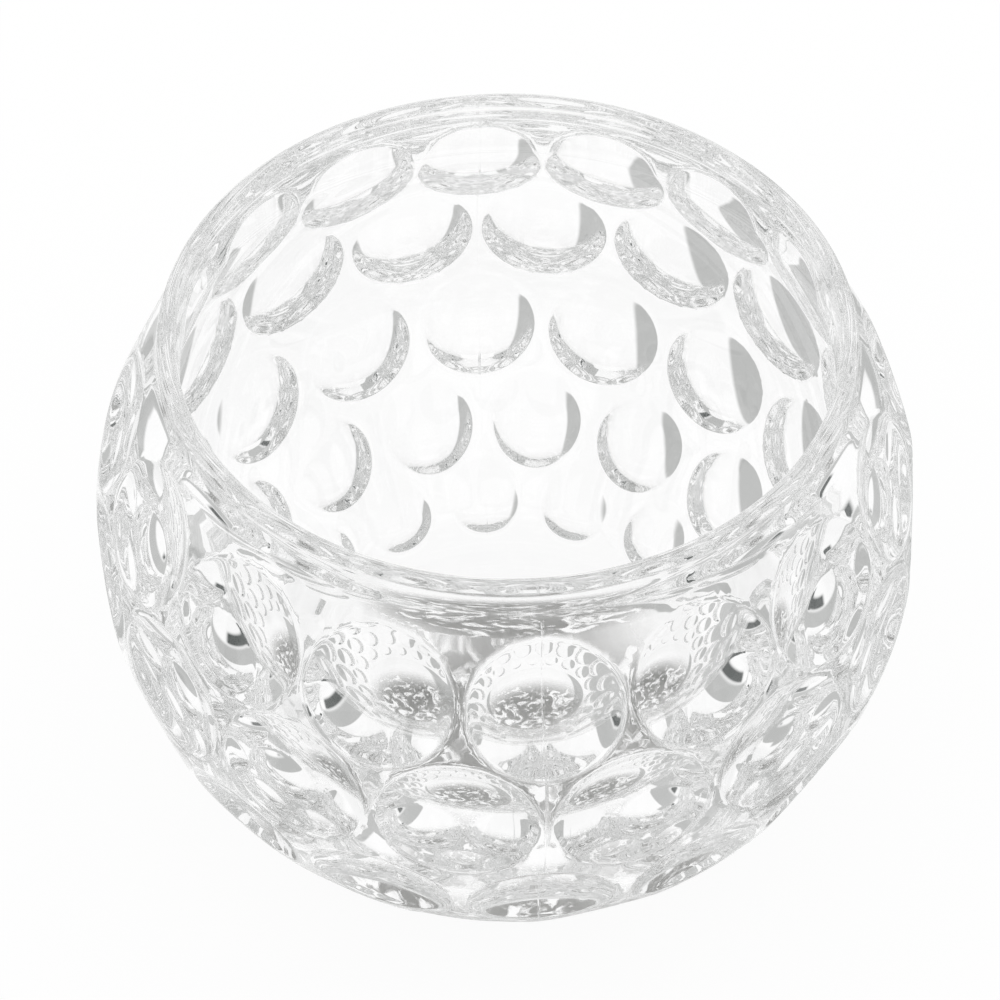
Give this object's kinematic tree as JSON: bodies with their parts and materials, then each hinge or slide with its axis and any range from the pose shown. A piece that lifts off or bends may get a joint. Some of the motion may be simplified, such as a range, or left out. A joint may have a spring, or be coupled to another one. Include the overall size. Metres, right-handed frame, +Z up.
{
  "type": "floating candle bowl",
  "caption": "Round barrel-shaped clear glass bowl with a wide mouth, a smooth inside and staggered rows of round hollows pressed into its outside, to hold water and a floating candle.",
  "frame": {"origin": "middle of the resting ring under the foot", "axes": "+Z up along the bowl's axis; the mould seam lies in the plane X = 0, and a crown-row hollow faces -Y"},
  "size_m": [0.1288, 0.1288, 0.1016],
  "materials": {
    "clear_glass": "clear colourless pressed soda-lime glass, fire-polished"
  },
  "bodies": {
    "root": {"glass_bowl": "clear_glass"}
  },
  "joints": []
}
